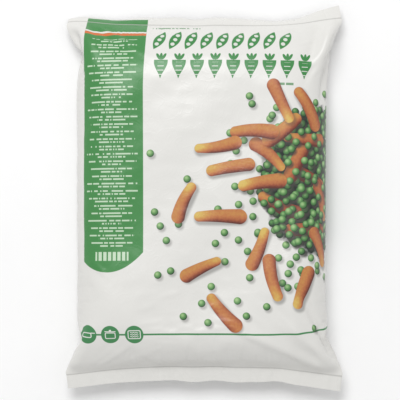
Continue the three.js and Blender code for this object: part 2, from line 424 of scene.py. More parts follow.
def lattice_noise(film, random, across_spacing, along_spacing):
    """Smooth unevenness between -1 and 1 over the film, the same on both sides of the tube's start."""
    columns = round(2 * film.width / across_spacing)
    rows = math.ceil(film.length / along_spacing) + 2
    lattice = random.uniform(-1, 1, (rows, columns))
    along = film.height / along_spacing
    across = np.arange(film.around) * film.cell_width / (2 * film.width) * columns
    row = np.floor(along).astype(int)
    column = np.floor(across).astype(int)
    down = smooth_step(along - row, 0, 1)[:, None]
    over = smooth_step(across - column, 0, 1)
    near, far = column % columns, (column + 1) % columns
    low = lattice[row][:, near] * (1 - over) + lattice[row][:, far] * over
    high = lattice[row + 1][:, near] * (1 - over) + lattice[row + 1][:, far] * over
    return low * (1 - down) + high * down


def straight_crease(film, start, stop, height, half_width):
    """A crease in the front from one place to another, which fades out at both ends."""
    (x, y), (far_x, far_y) = start, stop
    length = math.hypot(far_x - x, far_y - y)
    heading = ((far_x - x) / length, (far_y - y) / length)
    dx, dy = film.offset[None, :] - x, film.height[:, None] - y
    reach = dx * heading[0] + dy * heading[1]
    aside = dx * heading[1] - dy * heading[0]
    fade = smooth_step(reach, 0, length / 4) * smooth_step(reach, length, length / 2)
    front = np.arange(film.around) <= film.across
    return height * fade * np.exp(-((aside / half_width) ** 2)) * front


def start_creases(film):
    """What the film's creases start from: the folds, finer creases from the corners, and unevenness."""
    random = np.random.default_rng(RELIEF_SEED + 2)
    relief = UNEVEN_HEIGHT * lattice_noise(film, random, UNEVEN_SPACING, UNEVEN_SPACING)
    for fold in FOLDS:
        relief += straight_crease(film, *fold)
    for side, end, count in CORNER_CREASES:
        corner = (side * film.width / 2, end * film.length)
        for _ in range(count):
            angle = math.radians(random.uniform(*CREASE_ANGLES))
            heading = (-side * math.cos(angle), (1 - 2 * end) * math.sin(angle))
            near, far = random.uniform(*CREASE_NEAR), random.uniform(*CREASE_FAR)
            start, stop = (tuple(c + k * reach for c, k in zip(corner, heading)) for reach in (near, far))
            height = CREASE_HEIGHT * random.uniform(-1, 1)
            relief += straight_crease(film, start, stop, height, CREASE_HALF)
    return relief * smooth_step(film.from_weld, 0, CREASE_FADE)[:, None]


def film_relief(film):
    """How far each point of the film stands out of the relaxed shape."""
    random = np.random.default_rng(RELIEF_SEED)
    from_weld = film.from_weld[:, None]
    loose = smooth_step(from_weld, *LOOSE_FILM)
    lumps = LUMP_RELIEF * lattice_noise(film, random, LUMP_SPACING, LUMP_SPACING)
    swells = lattice_noise(film, random, SWELL_SPACING, SWELL_SPACING * SWELL_ALONG_SHARE)
    around = np.arange(film.around) * film.cell_width
    from_seam = np.abs(around - film.back_middle * film.cell_width)
    past_seam = from_seam - BACK_SEAM_HALF
    beside_seam = smooth_step(past_seam, -BACK_SEAM_SOFT, BACK_SEAM_SOFT)
    beside_seam *= smooth_step(past_seam, *BACK_SEAM_FADE)
    front = (np.arange(film.around) <= film.across)[None, :]
    relief = loose * (lumps + SWELL_RELIEF * swells) * np.where(front, 1, BACK_SHARE)
    for fold in FOLDS:
        relief += FOLD_RELIEF * straight_crease(film, *fold) * smooth_step(from_weld, 0, CREASE_FADE)
    return relief - BACK_SEAM_STEP * beside_seam * (from_weld > 0)


def even_welds(film, points):
    """Evens out the welds and the film next to them, between the side edges."""
    even = points.copy()
    for face in (range(film.across + 1), range(film.across, film.around + 1)):
        row = even[:, [column % film.around for column in face]]
        for _ in range(EVEN_PASSES):
            row[:, 1:-1] = (row[:, :-2] + 2 * row[:, 1:-1] + row[:, 2:]) / 4
        even[:, [column % film.around for column in face[1:-1]]] = row[:, 1:-1]
    share = smooth_step(film.from_weld, EVEN_REACH, EVEN_REACH / 4)[:, None, None]
    return points + (even - points) * share


def strip_puckers(film):
    """Puckers that run up the welded strips and the wander of their edges, the same on both faces."""
    random = np.random.default_rng(RELIEF_SEED + 1)
    fine = lattice_noise(film, random, *PUCKER_SPACING)
    broad = lattice_noise(film, random, *BROAD_PUCKER_SPACING)
    from_end = np.minimum(film.height, film.length - film.height)[:, None]
    at_strip = smooth_step(from_end, film.seal + PUCKERS_PAST_WELD, film.seal - PUCKERS_FULL_FROM)
    puckers = PUCKER_RELIEF * at_strip * (FINE_PUCKER_SHARE * fine + broad)
    wave = lattice_noise(film, random, *END_WAVE_SPACING)
    wave *= END_WAVE * smooth_step(from_end, END_WAVE_REACH * film.seal, 0)
    back = np.arange(film.across + 1, film.around)
    for way in (puckers, wave):
        way[:, back] = way[:, film.around - back]
    return puckers, wave


def film_skin(film, points, relief=0.0):
    """The outer face of the film, with the ends leaning as the solid's do."""
    normal = film.area_normals(points)
    area = np.linalg.norm(normal, axis=2)
    creased = area <= CREASED_AREA / film.cells**2
    stand_out = np.where(creased, 0, WALL + relief)
    skin = points + normal / np.maximum(area, TINY)[..., None] * stand_out[..., None]
    skin[..., 0] += END_LEAN * smooth_step(np.abs(points[..., 1]), LEAN_FROM, LEAN_TO)
    return skin


def foot_of(skin):
    """The point of the table under the middle of a skin."""
    low, high = skin.min(axis=(0, 1)), skin.max(axis=(0, 1))
    return np.array([(low[0] + high[0]) / 2, (low[1] + high[1]) / 2, low[2]])


def relaxed_skin(form, fine_steps):
    """Fills the film on the coarse grid, creases it on the fine one and gives it its relief."""
    coarse = Film(form, 1, SLACK_STIFFNESS, BEND_STIFFNESS)
    points = coarse.fill(coarse.flat_tube())
    foot = foot_of(film_skin(coarse, points))
    fine = Film(form, FINE_CELLS, FINE_SLACK_STIFFNESS, FINE_BEND_STIFFNESS, SPARE_FILM, SPARE_BY_WELD)
    points = finer_columns(finer_rows(points, FINE_CELLS), FINE_CELLS)
    normal = fine.area_normals(points)
    normal /= np.maximum(np.linalg.norm(normal, axis=2, keepdims=True), TINY)
    points = fine.crease(points + normal * start_creases(fine)[..., None], fine_steps)
    skin = film_skin(fine, even_welds(fine, points), film_relief(fine))
    puckers, wave = strip_puckers(fine)
    skin[..., 1] += wave
    skin[..., 2] += puckers
    skin -= foot
    skin[..., 2] = np.where(skin[..., 2] < TABLE_TOUCH, 0, skin[..., 2])
    return fine, skin


def film_mesh(film, skin):
    """The tube of film with a narrow face across each end, and its two maps."""
    row, column = np.meshgrid(np.arange(film.rows), np.arange(film.around), indexing="ij")
    row, column = row.ravel(), column.ravel()
    following = (column + 1) % film.around
    here, above = row * film.around, (row + 1) * film.around
    tube = np.stack((here + column, here + following, above + following, above + column), axis=1)
    turn = column * film.cell_width - film.width / 2
    left = np.where(column >= film.back_middle, turn - 2 * film.width, turn)
    right = left + film.cell_width
    low, high = film.height[row], film.height[row + 1]
    tube_map = np.stack((left, low, right, low, right, high, left, high), axis=1).reshape(-1, 4, 2)
    corners, spots = tube.tolist(), tube_map.tolist()
    for end_row, reach in ((0, -END_STRIP), (film.rows, film.length + END_STRIP)):
        start, edge = end_row * film.around, film.height[end_row]
        for k in range(film.across):
            behind = (film.around - k) % film.around
            quad = [start + k, start + behind, start + film.around - k - 1, start + k + 1]
            near, far = film.offset[k], film.offset[k + 1]
            quad_map = [[near, edge], [near, reach], [far, reach], [far, edge]]
            if end_row:
                quad, quad_map = quad[::-1], quad_map[::-1]
            kept = [i for i in range(4) if quad[i] not in quad[:i]]
            corners.append([quad[i] for i in kept])
            spots.append([quad_map[i] for i in kept])
    mesh = bpy.data.meshes.new("bag_film")
    mesh.from_pydata((skin.reshape(-1, 3) * MM).tolist(), [], corners)
    place = np.array([spot for face in spots for spot in face]) * MM
    film_map = mesh.uv_layers.new(name=FILM_MAP)
    film_map.uv.foreach_set("vector", place.astype(np.float32).ravel())
    bake_map = mesh.uv_layers.new(name=BAKE_MAP)
    baked = (place + [film.width * MM + BAKE_MARGIN[0], BAKE_MARGIN[1]]) / BAKE_SPAN
    bake_map.uv.foreach_set("vector", baked.astype(np.float32).ravel())
    mesh.polygons.foreach_set("use_smooth", [True] * len(mesh.polygons))
    mesh.set_sharp_from_angle(angle=SHARP_TURN)
    mesh.update()
    return mesh


def srgb(red, green, blue):
    """A scene-linear colour from its everyday values of 0 to 255, by the standard curve."""
    shares = (level / 255 for level in (red, green, blue))
    return tuple(s / 12.92 if s <= 0.04045 else ((s + 0.055) / 1.055) ** 2.4 for s in shares)


class Value:
    """A socket of a node that can be reckoned with."""

    def __init__(self, paint, socket):
        self.paint = paint
        self.socket = socket

    def __add__(self, other):
        return self.paint.math("ADD", self, other)

    __radd__ = __add__

    def __sub__(self, other):
        return self.paint.math("SUBTRACT", self, other)

    def __rsub__(self, other):
        return self.paint.math("SUBTRACT", other, self)

    def __mul__(self, other):
        return self.paint.math("MULTIPLY", self, other)

    __rmul__ = __mul__

    def __truediv__(self, other):
        return self.paint.math("DIVIDE", self, other)

    def __lt__(self, other):
        return self.paint.math("LESS_THAN", self, other)

    def __gt__(self, other):
        return self.paint.math("GREATER_THAN", self, other)

    def __abs__(self):
        return self.paint.math("ABSOLUTE", self)


class Paint:
    """Adds nodes to a material or a group, in the order in which they are worked out."""

    def __init__(self, tree):
        self.tree = tree
        self.tree.nodes.clear()

    def node(self, kind, settings=(), sockets=()):
        """Adds a node, with its settings made first and then the values or links of its sockets."""
        node = self.tree.nodes.new(kind)
        for name, value in dict(settings).items():
            setattr(node, name, value)
        for key, value in dict(sockets).items():
            socket = node.inputs[key]
            if isinstance(value, Value):
                self.tree.links.new(value.socket, socket)
            elif socket.type == "RGBA":
                socket.default_value = (*value[:3], 1)
            else:
                socket.default_value = value
        return node

    def out(self, node, key=0):
        return Value(self, node.outputs[key])

    def math(self, operation, *values):
        return self.out(self.node("ShaderNodeMath", {"operation": operation}, enumerate(values)))

    def vector(self, operation, *values):
        """A Vector Math node's vector, or its number where that is what it gives."""
        node = self.node("ShaderNodeVectorMath", {"operation": operation}, enumerate(values))
        return self.out(node, "Value" if operation in ("LENGTH", "DOT_PRODUCT", "DISTANCE") else "Vector")

    def scaled(self, vector, scale):
        node = self.node("ShaderNodeVectorMath", {"operation": "SCALE"}, {"Vector": vector, "Scale": scale})
        return self.out(node, "Vector")

    def group(self, tree, *values):
        """The outputs of a group of nodes, given the values of its inputs."""
        node = self.node("ShaderNodeGroup", {"node_tree": tree}, enumerate(values))
        outputs = [self.out(node, k) for k in range(len(node.outputs))]
        return outputs if len(outputs) > 1 else outputs[0]

    def split(self, vector):
        node = self.node("ShaderNodeSeparateXYZ", (), {0: vector})
        return self.out(node, 0), self.out(node, 1)

    def join(self, x, y):
        return self.out(self.node("ShaderNodeCombineXYZ", (), {0: x, 1: y}))

    def mapping(self, way, vector, rotation, location, scale=(1, 1, 1)):
        sockets = {"Vector": vector, "Rotation": rotation, "Location": location, "Scale": scale}
        return self.out(self.node("ShaderNodeMapping", {"vector_type": way}, sockets))

    def seen_from(self, vector, angle, place, size=(1, 1)):
        """A vector as it is seen from a place with its own heading and size."""
        return self.mapping("TEXTURE", vector, (0, 0, angle), (*place, 0), (*size, 1))

    def edge(self, value, none, full):
        """Rises smoothly from 0 to 1 as a value goes from one number to the other."""
        sockets = {"Value": value, "From Min": none, "From Max": full}
        return self.out(self.node("ShaderNodeMapRange", {"interpolation_type": "SMOOTHSTEP"}, sockets))

    def clamp(self, value, low, high):
        return self.out(self.node("ShaderNodeClamp", (), {0: value, 1: low, 2: high}))

    def mix(self, below, above, share):
        """A colour laid over another."""
        node = self.node("ShaderNodeMix", {"data_type": "RGBA"}, {0: share, 6: below, 7: above})
        return self.out(node, 2)

    def blend(self, first, second, share):
        """A number that goes from one to another."""
        return self.out(self.node("ShaderNodeMix", (), {0: share, 2: first, 3: second}))

    def ramp(self, value, stops):
        """A colour from a value between 0 and 1, by stops of place and colour."""
        node = self.node("ShaderNodeValToRGB", (), {0: value})
        elements = node.color_ramp.elements
        while len(elements) < len(stops):
            elements.new(1)
        for element, (place, colour) in zip(elements, stops):
            element.position = place
            element.color = (*colour[:3], 1)
        return self.out(node)

    def noise(self, vector, scale, detail=2.0, roughness=0.5, distortion=0.0):
        sockets = {"Vector": vector, "Scale": scale, "Detail": detail, "Roughness": roughness}
        sockets["Distortion"] = distortion
        return self.out(self.node("ShaderNodeTexNoise", {"noise_dimensions": "2D"}, sockets))

    def chance(self, vector):
        """A random number between 0 and 1 for each whole place."""
        node = self.node("ShaderNodeTexWhiteNoise", {"noise_dimensions": "2D"}, {"Vector": vector})
        return self.out(node)

    def cells(self, vector, scale, jitter):
        """The middle of the nearest cell, and three random numbers for it."""
        settings = {"voronoi_dimensions": "2D", "feature": "F1"}
        sockets = {"Vector": vector, "Scale": scale, "Randomness": jitter}
        node = self.node("ShaderNodeTexVoronoi", settings, sockets)
        randoms = self.node("ShaderNodeSeparateColor", (), {0: self.out(node, "Color")})
        return self.out(node, "Position"), [self.out(randoms, k) for k in range(3)]

    def surface(self, sockets):
        """Ends a material in a Principled shader."""
        shader = self.node("ShaderNodeBsdfPrincipled", (), sockets)
        self.node("ShaderNodeOutputMaterial", (), {"Surface": self.out(shader)})


def new_material(name):
    material = bpy.data.materials.new(name)
    material.use_nodes = True
    return material, Paint(material.node_tree)


def new_group(name, build, inputs, outputs):
    """A group of nodes, whose outputs build works out from its inputs. Both are named, with their kinds."""
    tree = bpy.data.node_groups.new(name, "ShaderNodeTree")
    for sockets, side in ((inputs, "INPUT"), (outputs, "OUTPUT")):
        for label, kind in sockets.items():
            tree.interface.new_socket(label, in_out=side, socket_type=f"NodeSocket{kind}")
    paint = Paint(tree)
    source = paint.node("NodeGroupInput")
    results = build(paint, *(paint.out(source, k) for k in range(len(inputs))))
    paint.node("NodeGroupOutput", (), enumerate(results if isinstance(results, tuple) else (results,)))
    return tree


# The print, in millimetres of film.
PRINT_SOFT = 0.25  # half of the soft edge of a printed shape
PANEL_LEFT, PANEL_RIGHT, PANEL_TOP = -124, -60, 406
PANEL_FOOT, PANEL_FOOT_MIDDLE, PANEL_FOOT_BOW = 128, -97, 0.015
PANEL_FOOT_SOFT, PANEL_TOP_SOFT = 0.4, 0.3
LIST_MIDDLE, LIST_FOOT, LIST_HEAD, LIST_PITCH = -92.5, 153, 371, 7.6
STRIPES = ((381, 1.1), (378, 1.7))  # place and half-height of the pale one and of the accent
LIST_LINES = ((5.3, 21, 6), (2.2, 9, 8))  # height in the pitch, half-width and how much more it may be
LIST_SOFT = 0.1
DASH_HALF = 0.8
WORD_CELL = 1.3
GAP_SHARE = 0.22
BLOCK_MIDDLE, BLOCK_FOOT, BLOCK_HEAD, BLOCK_HALF = -92, 140, 149, 17
BAR_HALF_PITCH, BAR_GAP_HALF = 2.4, 0.75
POD_ROW = {"foot": 357, "head": 383, "left": -54, "right": 92, "count": 9}
POD_TURN, POD_STRETCH = math.radians(66), (1.2, 1.3)
POD_HALF_LENGTH, POD_HALF_WIDTH = 11, 4.2
BEAD_HALF_PITCH, BEAD_RADIUS, BEAD_SOFT, BEADS_HALF = 2.6, 1.7, 0.2, 7.2
CARROT_ROW = {"foot": 326, "head": 353, "left": -52, "right": 114, "count": 9}
ROOT_HALF_WIDTH, ROOT_TAPER = 7, (-15, 4)  # from where it would have no width to where it is full
ROOT_TOP, ROOT_TOP_SOFT, ROOT_TIP = 6.3, 0.3, (-13.2, -12.4)
LEAF_LEANS, LEAF_SIZE, LEAF_SOFT = (-0.5, 0.0, 0.5), (1.5, 3.9), 0.06
LEAF_SWING, LEAF_HEIGHT = 6.2, 10.0
RING_HALF_PITCH, RING_FROM, RING_EDGE = 4.4, 20, (0.5, 0.3)
RING_HALF_WIDTH, RINGS_TOP = 3.2, 4
SMALL_DASHES = ((389, -54, -4), (321, 68, 94))  # height, left and right of each run
SMALL_DASH_HALF = 1.28
SMALL_DASH_GAPS = 3  # the row of random numbers that makes their gaps
RULE_HEIGHT, RULE_HALF = 64, 0.9
RULE_LEFT, RULE_RIGHT, RULE_LIFT_FROM, RULE_LIFT = -128, 262, 60, 0.0009
BADGES = (-118, -94.5, -70)
BADGE_RADIUS = 9.4
OUTLINE_HALF, OUTLINE_SOFT = 0.45, 0.2
BACK_LIST = {"left": 172, "right": 250, "foot": 150, "head": 292, "pitch": 6.5, "half": 1.0}

# The signs in the badges: each box's middle across and along, its half-width and half-height.
PAN, PAN_CORNER, HANDLE = (-1.0, -0.8, 5.0, 2.2), 1.4, (5.8, 1.6, 2.2, OUTLINE_HALF)
POT, POT_CORNER, LID, KNOB = (0, -1.0, 5.0, 3.0), 1.2, (0, 3.3, 5.6, OUTLINE_HALF), (0, 4.5, 1.1, 0.7)
OVEN, OVEN_CORNER, WAVES = (0, 0, 6.2, 4.2), 1.4, (0, 0, 4.2, 2.8)
WAVE_TURN, WAVE_HEIGHT, WAVE_FROM, WAVE_HALF_PITCH, WAVE_EDGE = 2.4, 0.45, 21, 1.05, (0.5, 0.25)

# How strongly dashes, bars and signs cover their ground.
LIST_INK, BLOCK_INK, SIGN_INK, SMALL_INK, BACK_INK = 0.72, 0.8, 0.9, 0.8, 0.85

# The artwork, in millimetres of film or as shares of a size. Each edge goes from none to full.
ARTWORK_FOOT, ARTWORK_HEAD = 34, 318
HEAP_PLACE, HEAP_SIZE, HEAP_EDGE = (124, 222), (66, 80), (1.06, 0.82)
HEAP_GROUND_EDGE, RIM_SCALE, RIM_UNEVEN = (1.0, 0.88), 0.09, 0.3
SCATTER_PLACE, SCATTER_SIZE, SCATTER_EDGE, SCATTER_SHARE = (62, 178), (140, 122), (1.25, 0.75), 0.16
BESIDE_HEAP_EDGE, BESIDE_HEAP_SHARE = (1.9, 1.0), 0.32
BESIDE_PANEL, UNDER_PANEL = PANEL_RIGHT + 6, PANEL_FOOT - 8  # loose peas keep off the panel
PRINT_LIGHT = (-0.6, 0.8)  # where the light in the artwork comes from
SHADOW_SHIFT = (1.7, -2.3)
PEA_RADIUS, PEA_SOFT, PEA_SHADOW = 3.9, 0.05, (1.9, -1.6)
PEA_FACING, PEA_ROUND, PEA_CHANCE = 0.36, -0.46, 0.16  # the light's, the rim's and chance's part in a tone
GLINT_PLACE, GLINT_EDGE, GLINT = 1.7, (2.4, 0.4), 0.16
CARROT_SEED, CARROT_COUNT = 4, 22
CARROT_SPREAD = (math.radians(97), math.radians(186))  # where the sector begins, and how wide it is
CARROT_REACH = (98, 92, math.radians(216), math.radians(42))  # reach, what is added to it, and where
HEAP_REACH = 56  # carrots nearer than this to the heap's middle lie among its peas
GOLDEN = (math.sqrt(5) - 1) / 2
FIRST_TURN, FIRST_REACH, REACH_POWER = 0.37, 0.6, 0.62  # where the seed head's rule starts, and its growth
CARROT_LENGTH, CARROT_THICK, CARROT_THIN = (29, 42), (6.8, 7.9), (4.4, 6.6)
CARROT_BEND, CARROT_RIPENESS, CARROT_FACING = (-8, 8), (0.05, 0.5), 0.4
CARROT_SOFT, CARROT_SHADOW = 0.3, (2.2, -1.8)
CARROT_TONE, CARROT_ROUND, CARROT_GRAIN, RIPE_END = 0.55, 0.36, 0.26, (0.55, 1.1)
GRAIN_SCALE = 0.35

# Layers of peas: light, shadow, pitch of the cells, how uneven they are, and their turn and shift.
LOOSE_PEAS = ((0.66, 0.42, 15, 0.55, 0.5, (31, 8)), (0.62, 0.42, 16, 0.6, 1.3, (5, 47)))
HEAP_PEAS = (
    (0.26, 0.5, 9.6, 0.3, 0.2, (3, 4)),
    (0.48, 0.8, 10.2, 0.35, 0.9, (14, 2)),
    (0.62, 0.8, 13, 0.45, 2.1, (6, 11)),
)
HEAP_CARROTS = ((-0.3, 0.7), (-0.12, 0.7))  # light and shadow of those between the heap's layers
LOOSE_CARROTS = (0, 0.5)

# The bare film.
CLOUD_SCALE, CLOUD_SHARE = 0.02, 0.5
# Painted shade: the film's colour is darkened along each weld, where the film creases there, and a bump
# groove is also sunk along it.
WELD_GROOVE_EDGE, WELD_SHADE_SHARE, WELD_GROOVE_DEPTH = (1.3, 0.1), 0.7, 0.5
STRIP_FROM, STRIP_FULL = -1.5, 1  # from the weld towards the end
WRINKLES = {"scale": 0.11, "detail": 4, "roughness": 0.55, "distortion": 0.6}
WRINKLE_HEIGHT, STRIP_WRINKLE_HEIGHT = 0.42, 0.9
PINCHES = {"scale": 0.045, "detail": 2, "distortion": 1.2}
PINCH_EDGE, PINCH_HEIGHT = (0.05, 0.0), 0.12
RIB_TURN, RIB_HEIGHT = 4.0, 0.05
BUMP = {"Strength": 0.5, "Distance": 0.0007}
ROUGHNESS, CLOUD_ROUGHNESS, STRIP_GLOSS = 0.34, 0.12, 0.06
FILM_IOR = 1.49


def within(paint, value, limit, soft=PRINT_SOFT):
    """1 where a value is under a limit, with a soft end."""
    return paint.edge(value, limit + soft, limit - soft)


def between(paint, value, low, high, soft=0.35):
    """1 where a value lies between two numbers, with soft ends."""
    return paint.edge(value, low - soft, low + soft) * within(paint, value, high, soft)


def cell_of(paint, value, start, pitch):
    """The number of the cell that a value lies in, and how far it is into that cell."""
    turn = (value - start) / pitch
    number = paint.math("FLOOR", turn)
    return number, (turn - number) * pitch


def language_panel(paint, across, along, ground, colours):
    """The green panel down the left side, with its list of pale dashes."""
    from_middle = across - PANEL_FOOT_MIDDLE
    foot = from_middle * from_middle * PANEL_FOOT_BOW + PANEL_FOOT
    panel = between(paint, across, PANEL_LEFT, PANEL_RIGHT)
    panel = panel * paint.edge(along - foot, -PANEL_FOOT_SOFT, PANEL_FOOT_SOFT)
    panel = panel * within(paint, along, PANEL_TOP, PANEL_TOP_SOFT)
    ground = paint.mix(ground, colours.panel, panel)
    entry, height = cell_of(paint, along, LIST_FOOT, LIST_PITCH)
    from_list = abs(across - LIST_MIDDLE)
    word = paint.math("FLOOR", across / WORD_CELL)
    ink = 0
    for number, (line, half, spare) in enumerate(LIST_LINES):
        width = paint.chance(paint.join(entry, number + 0.5)) * spare + half
        dash = (abs(height - line) < DASH_HALF) * (from_list < width)
        dash = dash * (paint.chance(paint.join(word, entry * 2 + number)) > GAP_SHARE)
        ink = dash + ink
    ink = ink * between(paint, along, LIST_FOOT, LIST_HEAD, LIST_SOFT)
    ground = paint.mix(ground, colours.panel_ink, ink * LIST_INK)
    block = between(paint, along, BLOCK_FOOT, BLOCK_HEAD) * (abs(across - BLOCK_MIDDLE) < BLOCK_HALF)
    bar = paint.math("PINGPONG", across - BLOCK_MIDDLE, BAR_HALF_PITCH) > BAR_GAP_HALF
    ground = paint.mix(ground, colours.panel_ink, block * bar * BLOCK_INK)
    for (middle, half), ink in zip(STRIPES, (colours.film, colours.accent)):
        ground = paint.mix(ground, ink, within(paint, abs(along - middle), half) * panel)
    return ground


def row_places(paint, across, along, row):
    """Places in the cell of a row of like signs, and whether the place is in the row."""
    pitch = (row["right"] - row["left"]) / row["count"]
    _, into = cell_of(paint, across, row["left"], pitch)
    inside = (across > row["left"]) * (across < row["right"])
    return into - pitch / 2, along - (row["foot"] + row["head"]) / 2, inside


def pod_row(paint, across, along, ground, colours):
    """A row of slanted pods, each with three peas."""
    x, y, inside = row_places(paint, across, along, POD_ROW)
    local = paint.seen_from(paint.join(x, y), POD_TURN, (0, 0), POD_STRETCH)
    length, width = paint.split(local)
    bow = length * length * (-POD_HALF_WIDTH / POD_HALF_LENGTH**2) + POD_HALF_WIDTH
    pod = paint.edge(bow - abs(width), -PRINT_SOFT, PRINT_SOFT) * inside
    bead = paint.join(paint.math("PINGPONG", length, BEAD_HALF_PITCH), width)
    pea = within(paint, paint.vector("LENGTH", bead), BEAD_RADIUS, BEAD_SOFT) * (abs(length) < BEADS_HALF)
    ground = paint.mix(ground, colours.headline, pod)
    return paint.mix(ground, colours.film, pod * pea * SIGN_INK)


def carrot_row(paint, across, along, ground, colours):
    """A row of upright carrot signs in one green."""
    x, y, inside = row_places(paint, across, along, CARROT_ROW)
    half = paint.edge(y, *ROOT_TAPER) * ROOT_HALF_WIDTH
    root = paint.edge(half - abs(x), -PRINT_SOFT, PRINT_SOFT) * within(paint, y, ROOT_TOP, ROOT_TOP_SOFT)
    root = root * paint.edge(y, *ROOT_TIP)
    sign = root
    for lean in LEAF_LEANS:
        place = (-LEAF_SWING * math.sin(lean), LEAF_HEIGHT)
        leaf = paint.seen_from(paint.join(x, y), lean, place, LEAF_SIZE)
        sign = paint.math("MAXIMUM", sign, within(paint, paint.vector("LENGTH", leaf), 1, LEAF_SOFT))
    from_ring = abs(paint.math("PINGPONG", y + RING_FROM, RING_HALF_PITCH) - RING_HALF_PITCH / 2)
    ring = paint.edge(from_ring, *RING_EDGE) * (abs(x) < RING_HALF_WIDTH) * (y < RINGS_TOP)
    ground = paint.mix(ground, colours.headline, sign * inside)
    return paint.mix(ground, colours.film, root * ring * inside * SIGN_INK)


def small_dashes(paint, across, along, ground, colours):
    """Short runs of fine dashes over and under the rows of signs."""
    word = paint.math("FLOOR", across / WORD_CELL)
    ink = paint.chance(paint.join(word, SMALL_DASH_GAPS)) > GAP_SHARE
    runs = 0
    for height, left, right in SMALL_DASHES:
        run = (abs(along - height) < SMALL_DASH_HALF) * between(paint, across, left, right, LIST_SOFT)
        runs = run + runs
    return paint.mix(ground, colours.headline, runs * ink * SMALL_INK)


def rule_line(paint, across, along, ground, colours):
    """The thin green rule near the foot, which rises towards the right and runs on round the side."""
    past = paint.math("MAXIMUM", across - RULE_LIFT_FROM, 0)
    height = past * past * RULE_LIFT + RULE_HEIGHT
    rule = within(paint, abs(along - height), RULE_HALF) * (across > RULE_LEFT)
    return paint.mix(ground, colours.rule, rule * (across < RULE_RIGHT))


def box_outline(paint, x, y, box, corner):
    """The outline of a box with round corners."""
    middle_x, middle_y, half_width, half_height = box
    dx = paint.math("MAXIMUM", abs(x - middle_x) - (half_width - corner), 0)
    dy = paint.math("MAXIMUM", abs(y - middle_y) - (half_height - corner), 0)
    away = abs(paint.vector("LENGTH", paint.join(dx, dy)) - corner)
    return within(paint, away, OUTLINE_HALF, OUTLINE_SOFT)


def full_box(x, y, box):
    """1 inside a box."""
    middle_x, middle_y, half_width, half_height = box
    return (abs(y - middle_y) < half_height) * (abs(x - middle_x) < half_width)


def pan_sign(paint, x, y):
    """A pan from the side, with its handle."""
    return paint.math("MAXIMUM", box_outline(paint, x, y, PAN, PAN_CORNER), full_box(x, y, HANDLE))


def pot_sign(paint, x, y):
    """A pot with its lid and the lid's knob."""
    top = paint.math("MAXIMUM", full_box(x, y, LID), full_box(x, y, KNOB))
    return paint.math("MAXIMUM", box_outline(paint, x, y, POT, POT_CORNER), top)


def oven_sign(paint, x, y):
    """An oven with waves of heat."""
    wave = paint.math("SINE", x * WAVE_TURN) * WAVE_HEIGHT
    from_wave = abs(paint.math("PINGPONG", y + wave + WAVE_FROM, WAVE_HALF_PITCH))
    waves = paint.edge(from_wave, *WAVE_EDGE) * full_box(x, y, WAVES)
    return paint.math("MAXIMUM", box_outline(paint, x, y, OVEN, OVEN_CORNER), waves)


def badges(paint, across, along, ground, colours):
    """Three round badges with a pan, a pot and an oven in white outline."""
    y = along - RULE_HEIGHT
    for middle, sign in zip(BADGES, (pan_sign, pot_sign, oven_sign)):
        x = across - middle
        disc = within(paint, paint.vector("LENGTH", paint.join(x, y)), BADGE_RADIUS)
        ground = paint.mix(ground, colours.rule, disc)
        ground = paint.mix(ground, colours.film, sign(paint, x, y) * disc)
    return ground


def back_list(paint, across, along, ground, colours):
    """A block of dashes on the back."""
    box = BACK_LIST
    line, height = cell_of(paint, along, box["foot"], box["pitch"])
    word = paint.math("FLOOR", across / (2 * WORD_CELL))
    dash = abs(height - box["pitch"] / 2) < box["half"]
    dash = dash * (paint.chance(paint.join(word, line)) > GAP_SHARE)
    inside = between(paint, across, box["left"], box["right"], LIST_SOFT)
    inside = inside * between(paint, along, box["foot"], box["head"], LIST_SOFT)
    return paint.mix(ground, colours.rule, dash * inside * BACK_INK)


def closeness(paint, place, middle, size):
    """Distance from the middle of an ellipse, as a share of its size."""
    per_size = (1 / size[0], 1 / size[1], 0)
    shift = (-middle[0] / size[0], -middle[1] / size[1], 0)
    return paint.vector("LENGTH", paint.vector("MULTIPLY_ADD", place, per_size, shift))


def heap_share(paint, centre):
    """How likely a pea of the heap is at a place."""
    return paint.edge(closeness(paint, centre, HEAP_PLACE, HEAP_SIZE), *HEAP_EDGE)


def scatter_share(paint, centre):
    """How likely a loose pea is at a place."""
    x, y = (paint.vector("DOT_PRODUCT", centre, axis) for axis in ((1, 0, 0), (0, 1, 0)))
    near = paint.edge(closeness(paint, centre, SCATTER_PLACE, SCATTER_SIZE), *SCATTER_EDGE)
    beside_heap = paint.edge(closeness(paint, centre, HEAP_PLACE, HEAP_SIZE), *BESIDE_HEAP_EDGE)
    off_panel = paint.math("MAXIMUM", x > BESIDE_PANEL, y < UNDER_PANEL)
    share = (near * SCATTER_SHARE + beside_heap * BESIDE_HEAP_SHARE) * off_panel
    return share * (y < ARTWORK_HEAD) * (y > ARTWORK_FOOT)


PEA_INPUTS = {"Place": "Vector", "Turn": "Vector", "Shift": "Vector", "Scale": "Float", "Jitter": "Float"}
LAYER_OUTPUTS = {"Cover": "Float", "Tone": "Float", "Shade": "Float"}


